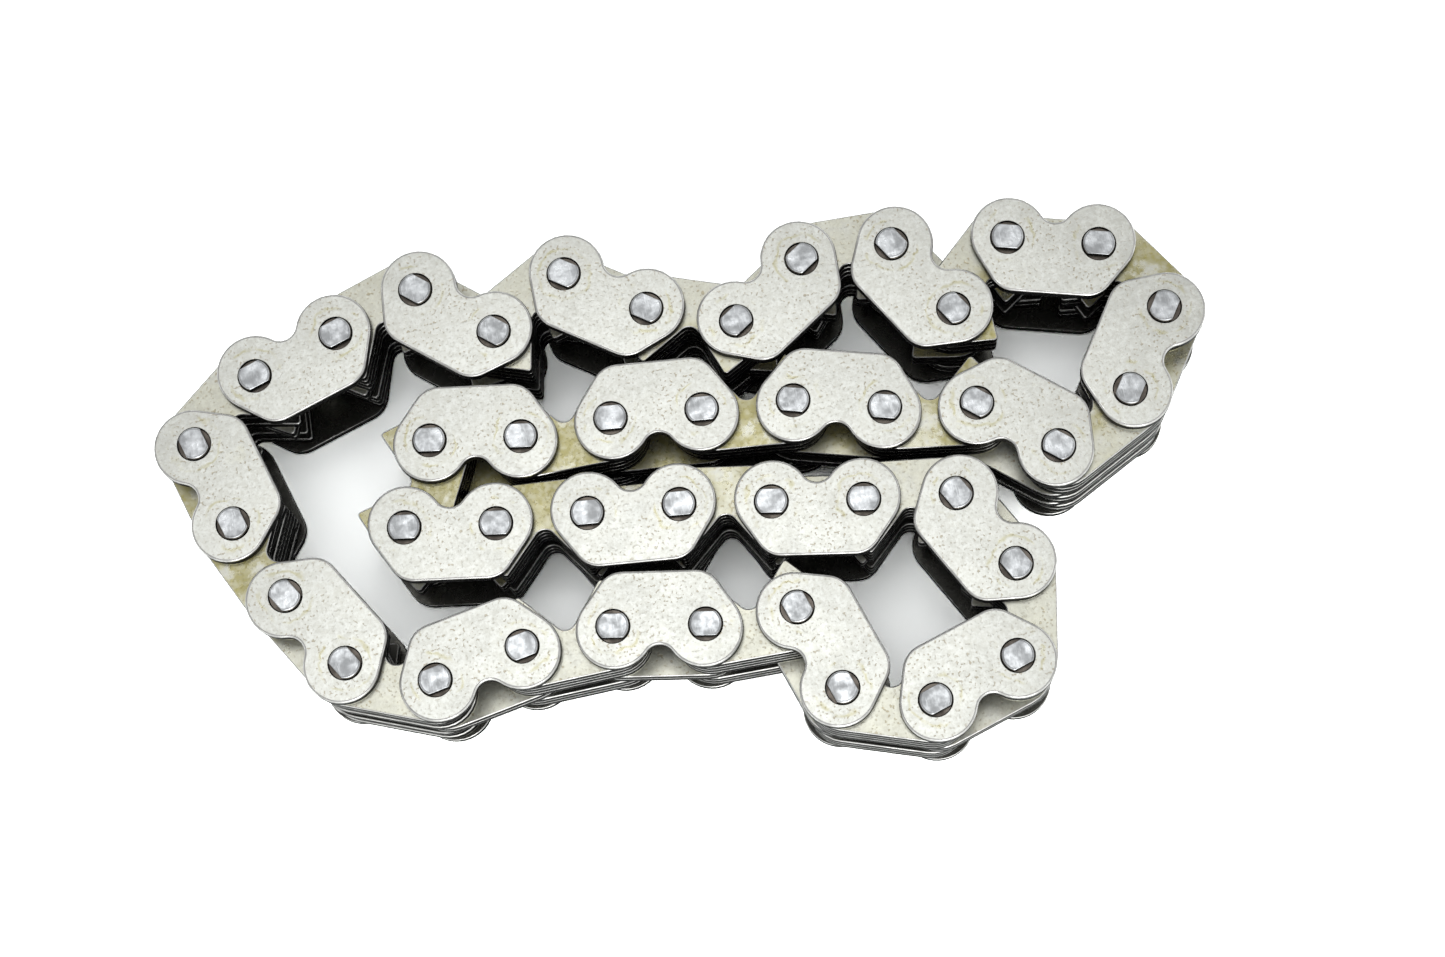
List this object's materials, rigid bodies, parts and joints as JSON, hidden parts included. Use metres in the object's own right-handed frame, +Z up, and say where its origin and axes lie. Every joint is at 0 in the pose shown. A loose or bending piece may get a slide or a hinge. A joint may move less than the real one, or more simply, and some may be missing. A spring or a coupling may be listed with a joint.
{
  "type": "silent chain loop",
  "caption": "Endless inverted-tooth timing chain of laced steel plates on upright pins, lying on its side in a folded loop.",
  "frame": {"origin": "centre of the bounding box in plan, at the height of the lower pin ends that the chain lies on", "axes": "+Z up along every pin, +X along the longer side of the laid loop"},
  "size_m": [0.1102, 0.0634, 0.0174],
  "materials": {
    "guide_link_steel": "matte tumbled steel with light oil film",
    "tooth_plate_steel": "matte tumbled steel, sheared edges bright, oil film"
  },
  "bodies": {
    "guide_link_01": {"guide_link_01": "guide_link_steel"},
    "inner_link_01": {"inner_link_01": "tooth_plate_steel"},
    "guide_link_02": {"guide_link_02": "guide_link_steel"},
    "inner_link_02": {"inner_link_02": "tooth_plate_steel"},
    "guide_link_03": {"guide_link_03": "guide_link_steel"},
    "inner_link_03": {"inner_link_03": "tooth_plate_steel"},
    "guide_link_04": {"guide_link_04": "guide_link_steel"},
    "inner_link_04": {"inner_link_04": "tooth_plate_steel"},
    "guide_link_05": {"guide_link_05": "guide_link_steel"},
    "inner_link_05": {"inner_link_05": "tooth_plate_steel"},
    "guide_link_06": {"guide_link_06": "guide_link_steel"},
    "inner_link_06": {"inner_link_06": "tooth_plate_steel"},
    "guide_link_07": {"guide_link_07": "guide_link_steel"},
    "inner_link_07": {"inner_link_07": "tooth_plate_steel"},
    "guide_link_08": {"guide_link_08": "guide_link_steel"},
    "inner_link_08": {"inner_link_08": "tooth_plate_steel"},
    "guide_link_09": {"guide_link_09": "guide_link_steel"},
    "inner_link_09": {"inner_link_09": "tooth_plate_steel"},
    "guide_link_10": {"guide_link_10": "guide_link_steel"},
    "inner_link_10": {"inner_link_10": "tooth_plate_steel"},
    "guide_link_11": {"guide_link_11": "guide_link_steel"},
    "inner_link_11": {"inner_link_11": "tooth_plate_steel"},
    "guide_link_12": {"guide_link_12": "guide_link_steel"},
    "inner_link_12": {"inner_link_12": "tooth_plate_steel"},
    "guide_link_13": {"guide_link_13": "guide_link_steel"},
    "inner_link_13": {"inner_link_13": "tooth_plate_steel"},
    "guide_link_14": {"guide_link_14": "guide_link_steel"},
    "inner_link_14": {"inner_link_14": "tooth_plate_steel"},
    "guide_link_15": {"guide_link_15": "guide_link_steel"},
    "inner_link_15": {"inner_link_15": "tooth_plate_steel"},
    "guide_link_16": {"guide_link_16": "guide_link_steel"},
    "inner_link_16": {"inner_link_16": "tooth_plate_steel"},
    "guide_link_17": {"guide_link_17": "guide_link_steel"},
    "inner_link_17": {"inner_link_17": "tooth_plate_steel"},
    "guide_link_18": {"guide_link_18": "guide_link_steel"},
    "inner_link_18": {"inner_link_18": "tooth_plate_steel"},
    "guide_link_19": {"guide_link_19": "guide_link_steel"},
    "inner_link_19": {"inner_link_19": "tooth_plate_steel"},
    "guide_link_20": {"guide_link_20": "guide_link_steel"},
    "inner_link_20": {"inner_link_20": "tooth_plate_steel"},
    "guide_link_21": {"guide_link_21": "guide_link_steel"},
    "inner_link_21": {"inner_link_21": "tooth_plate_steel"}
  },
  "joints": [
    {"name": "loop_shape_shift", "type": "hinge", "parent": "inner_link_17", "child": "guide_link_18", "pos_m": [-0.02186, -0.01213, 0.00873], "axis": [0, 0, 1], "range_deg": [-10, 3]},
    {"name": "pivot_36_g18_i18", "type": "hinge", "parent": "guide_link_18", "child": "inner_link_18", "pos_m": [-0.0313, -0.01345, 0.00873], "axis": [0, 0, 1], "range_deg": [-3, 10]},
    {"name": "top_shift", "type": "hinge", "parent": "inner_link_18", "child": "guide_link_19", "pos_m": [-0.04, -0.00958, 0.00873], "axis": [0, 0, 1], "range_deg": [-8, 3]},
    {"name": "pivot_38_g19_i19", "type": "hinge", "parent": "guide_link_19", "child": "inner_link_19", "pos_m": [-0.04462, -0.00125, 0.00873], "axis": [0, 0, 1], "range_deg": [-3, 8]},
    {"name": "pivot_39_i19_g20", "type": "hinge", "parent": "inner_link_19", "child": "guide_link_20", "pos_m": [-0.04842, 0.00749, 0.00873], "axis": [0, 0, 1], "range_deg": [-10, 3]},
    {"name": "pivot_40_g20_i20", "type": "hinge", "parent": "guide_link_20", "child": "inner_link_20", "pos_m": [-0.05072, 0.01673, 0.00873], "axis": [0, 0, 1], "range_deg": [-3, 10]},
    {"name": "lower_left_sway", "type": "hinge", "parent": "inner_link_20", "child": "guide_link_21", "pos_m": [-0.04307, 0.0224, 0.00873], "axis": [0, 0, 1], "range_deg": [-3, 25]},
    {"name": "pivot_42_g21_i21", "type": "hinge", "parent": "guide_link_21", "child": "inner_link_21", "pos_m": [-0.03387, 0.02487, 0.00873], "axis": [0, 0, 1], "range_deg": [-25, 3]},
    {"name": "right_half_swing", "type": "hinge", "parent": "inner_link_21", "child": "guide_link_01", "pos_m": [-0.02472, 0.02749, 0.00873], "axis": [0, 0, 1], "range_deg": [-3, 40]},
    {"name": "pivot_02_g01_i01", "type": "hinge", "parent": "guide_link_01", "child": "inner_link_01", "pos_m": [-0.01764, 0.02112, 0.00873], "axis": [0, 0, 1], "range_deg": [-40, 3]},
    {"name": "pivot_03_i01_g02", "type": "hinge", "parent": "inner_link_01", "child": "guide_link_02", "pos_m": [-0.00915, 0.02544, 0.00873], "axis": [0, 0, 1], "range_deg": [-10, 3]},
    {"name": "pivot_04_g02_i02", "type": "hinge", "parent": "guide_link_02", "child": "inner_link_02", "pos_m": [-0.00154, 0.01971, 0.00873], "axis": [0, 0, 1], "range_deg": [-3, 10]},
    {"name": "pivot_05_i02_g03", "type": "hinge", "parent": "inner_link_02", "child": "guide_link_03", "pos_m": [0.00729, 0.01614, 0.00873], "axis": [0, 0, 1], "range_deg": [-10, 3]},
    {"name": "pivot_06_g03_i03", "type": "hinge", "parent": "guide_link_03", "child": "inner_link_03", "pos_m": [0.01545, 0.02105, 0.00873], "axis": [0, 0, 1], "range_deg": [-3, 10]},
    {"name": "pivot_07_i03_g04", "type": "hinge", "parent": "inner_link_03", "child": "guide_link_04", "pos_m": [0.02495, 0.02039, 0.00873], "axis": [0, 0, 1], "range_deg": [-8, 3]},
    {"name": "pivot_08_g04_i04", "type": "hinge", "parent": "guide_link_04", "child": "inner_link_04", "pos_m": [0.02957, 0.01205, 0.00873], "axis": [0, 0, 1], "range_deg": [-3, 8]},
    {"name": "upper_right_sway", "type": "hinge", "parent": "inner_link_04", "child": "guide_link_05", "pos_m": [0.03687, 0.01818, 0.00873], "axis": [0, 0, 1], "range_deg": [-4, 7]},
    {"name": "pivot_10_g05_i05", "type": "hinge", "parent": "guide_link_05", "child": "inner_link_05", "pos_m": [0.04593, 0.01523, 0.00873], "axis": [0, 0, 1], "range_deg": [-7, 4]},
    {"name": "pivot_11_i05_g06", "type": "hinge", "parent": "inner_link_05", "child": "guide_link_06", "pos_m": [0.05083, 0.00707, 0.00873], "axis": [0, 0, 1], "range_deg": [-10, 3]},
    {"name": "pivot_12_g06_i06", "type": "hinge", "parent": "guide_link_06", "child": "inner_link_06", "pos_m": [0.04522, -0.00062, 0.00873], "axis": [0, 0, 1], "range_deg": [-3, 10]},
    {"name": "pivot_13_i06_g07", "type": "hinge", "parent": "inner_link_06", "child": "guide_link_07", "pos_m": [0.03658, -0.00465, 0.00873], "axis": [0, 0, 1], "range_deg": [-3, 40]},
    {"name": "lower_right_swing", "type": "hinge", "parent": "inner_link_17", "child": "guide_link_17", "pos_m": [-0.01234, -0.01229, 0.00873], "axis": [0, 0, 1], "range_deg": [-40, 4]},
    {"name": "pivot_33_g17_i16", "type": "hinge", "parent": "guide_link_17", "child": "inner_link_16", "pos_m": [-0.00302, -0.01427, 0.00873], "axis": [0, 0, 1], "range_deg": [-4, 40]},
    {"name": "pivot_32_i16_g16", "type": "hinge", "parent": "inner_link_16", "child": "guide_link_16", "pos_m": [0.00649, -0.01477, 0.00873], "axis": [0, 0, 1], "range_deg": [-10, 3]},
    {"name": "pivot_31_g16_i15", "type": "hinge", "parent": "guide_link_16", "child": "inner_link_15", "pos_m": [0.00908, -0.02394, 0.00873], "axis": [0, 0, 1], "range_deg": [-3, 10]},
    {"name": "pivot_30_i15_g15", "type": "hinge", "parent": "inner_link_15", "child": "guide_link_15", "pos_m": [0.01797, -0.02735, 0.00873], "axis": [0, 0, 1], "range_deg": [-3, 25]},
    {"name": "pivot_29_g15_i14", "type": "hinge", "parent": "guide_link_15", "child": "inner_link_14", "pos_m": [0.02718, -0.02488, 0.00873], "axis": [0, 0, 1], "range_deg": [-25, 3]},
    {"name": "pivot_28_i14_g14", "type": "hinge", "parent": "inner_link_14", "child": "guide_link_14", "pos_m": [0.02932, -0.0156, 0.00873], "axis": [0, 0, 1], "range_deg": [-10, 3]},
    {"name": "pivot_27_g14_i13", "type": "hinge", "parent": "guide_link_14", "child": "inner_link_13", "pos_m": [0.02514, -0.00704, 0.00873], "axis": [0, 0, 1], "range_deg": [-3, 10]},
    {"name": "pivot_26_i13_g13", "type": "hinge", "parent": "inner_link_13", "child": "guide_link_13", "pos_m": [0.01576, -0.00539, 0.00873], "axis": [0, 0, 1], "range_deg": [-40, 4]},
    {"name": "pivot_25_g13_i12", "type": "hinge", "parent": "guide_link_13", "child": "inner_link_12", "pos_m": [0.00645, -0.00341, 0.00873], "axis": [0, 0, 1], "range_deg": [-4, 40]},
    {"name": "left_bend_shift", "type": "hinge", "parent": "inner_link_12", "child": "guide_link_12", "pos_m": [-0.00287, -0.00143, 0.00873], "axis": [0, 0, 1], "range_deg": [-4, 4]},
    {"name": "pivot_23_g12_i11", "type": "hinge", "parent": "guide_link_12", "child": "inner_link_11", "pos_m": [-0.0123, -0.0001, 0.00873], "axis": [0, 0, 1], "range_deg": [-4, 4]},
    {"name": "left_bend_sway", "type": "hinge", "parent": "inner_link_11", "child": "guide_link_11", "pos_m": [-0.02176, 0.00106, 0.00873], "axis": [0, 0, 1], "range_deg": [-6, 8]},
    {"name": "pivot_21_g11_i10", "type": "hinge", "parent": "guide_link_11", "child": "inner_link_10", "pos_m": [-0.03111, 0.00288, 0.00873], "axis": [0, 0, 1], "range_deg": [-8, 6]},
    {"name": "pivot_20_i10_g10", "type": "hinge", "parent": "inner_link_10", "child": "guide_link_10", "pos_m": [-0.02664, 0.01129, 0.00873], "axis": [0, 0, 1], "range_deg": [-6, 8]},
    {"name": "pivot_19_g10_i09", "type": "hinge", "parent": "guide_link_10", "child": "inner_link_09", "pos_m": [-0.01729, 0.00947, 0.00873], "axis": [0, 0, 1], "range_deg": [-8, 6]},
    {"name": "pivot_18_i09_g09", "type": "hinge", "parent": "inner_link_09", "child": "guide_link_09", "pos_m": [-0.00777, 0.00914, 0.00873], "axis": [0, 0, 1], "range_deg": [-4, 4]},
    {"name": "pivot_17_g09_i08", "type": "hinge", "parent": "guide_link_09", "child": "inner_link_08", "pos_m": [0.00167, 0.00781, 0.00873], "axis": [0, 0, 1], "range_deg": [-4, 4]},
    {"name": "pivot_16_i08_g08", "type": "hinge", "parent": "inner_link_08", "child": "guide_link_08", "pos_m": [0.0111, 0.00648, 0.00873], "axis": [0, 0, 1], "range_deg": [-4, 7]},
    {"name": "pivot_15_g08_i07", "type": "hinge", "parent": "guide_link_08", "child": "inner_link_07", "pos_m": [0.02016, 0.00354, 0.00873], "axis": [0, 0, 1], "range_deg": [-7, 4]}
  ],
  "couplings": [
    {"joint": "pivot_36_g18_i18", "follows": "loop_shape_shift", "ratio": -1},
    {"joint": "pivot_38_g19_i19", "follows": "top_shift", "ratio": -1},
    {"joint": "pivot_39_i19_g20", "follows": "loop_shape_shift", "ratio": 1},
    {"joint": "pivot_40_g20_i20", "follows": "loop_shape_shift", "ratio": -1},
    {"joint": "pivot_42_g21_i21", "follows": "lower_left_sway", "ratio": -1},
    {"joint": "pivot_02_g01_i01", "follows": "right_half_swing", "ratio": -1},
    {"joint": "pivot_03_i01_g02", "follows": "loop_shape_shift", "ratio": 1},
    {"joint": "pivot_04_g02_i02", "follows": "loop_shape_shift", "ratio": -1},
    {"joint": "pivot_05_i02_g03", "follows": "loop_shape_shift", "ratio": 1},
    {"joint": "pivot_06_g03_i03", "follows": "loop_shape_shift", "ratio": -1},
    {"joint": "pivot_07_i03_g04", "follows": "top_shift", "ratio": 1},
    {"joint": "pivot_08_g04_i04", "follows": "top_shift", "ratio": -1},
    {"joint": "pivot_10_g05_i05", "follows": "upper_right_sway", "ratio": -1},
    {"joint": "pivot_11_i05_g06", "follows": "loop_shape_shift", "ratio": 1},
    {"joint": "pivot_12_g06_i06", "follows": "loop_shape_shift", "ratio": -1},
    {"joint": "pivot_13_i06_g07", "follows": "right_half_swing", "ratio": 1},
    {"joint": "pivot_33_g17_i16", "follows": "lower_right_swing", "ratio": -1},
    {"joint": "pivot_32_i16_g16", "follows": "loop_shape_shift", "ratio": 1},
    {"joint": "pivot_31_g16_i15", "follows": "loop_shape_shift", "ratio": -1},
    {"joint": "pivot_30_i15_g15", "follows": "lower_left_sway", "ratio": 1},
    {"joint": "pivot_29_g15_i14", "follows": "lower_left_sway", "ratio": -1},
    {"joint": "pivot_28_i14_g14", "follows": "loop_shape_shift", "ratio": 1},
    {"joint": "pivot_27_g14_i13", "follows": "loop_shape_shift", "ratio": -1},
    {"joint": "pivot_26_i13_g13", "follows": "lower_right_swing", "ratio": 1},
    {"joint": "pivot_25_g13_i12", "follows": "lower_right_swing", "ratio": -1},
    {"joint": "pivot_23_g12_i11", "follows": "left_bend_shift", "ratio": -1},
    {"joint": "pivot_21_g11_i10", "follows": "left_bend_sway", "ratio": -1},
    {"joint": "pivot_20_i10_g10", "follows": "left_bend_sway", "ratio": 1},
    {"joint": "pivot_19_g10_i09", "follows": "left_bend_sway", "ratio": -1},
    {"joint": "pivot_18_i09_g09", "follows": "left_bend_shift", "ratio": 1},
    {"joint": "pivot_17_g09_i08", "follows": "left_bend_shift", "ratio": -1},
    {"joint": "pivot_16_i08_g08", "follows": "upper_right_sway", "ratio": 1},
    {"joint": "pivot_15_g08_i07", "follows": "upper_right_sway", "ratio": -1}
  ]
}
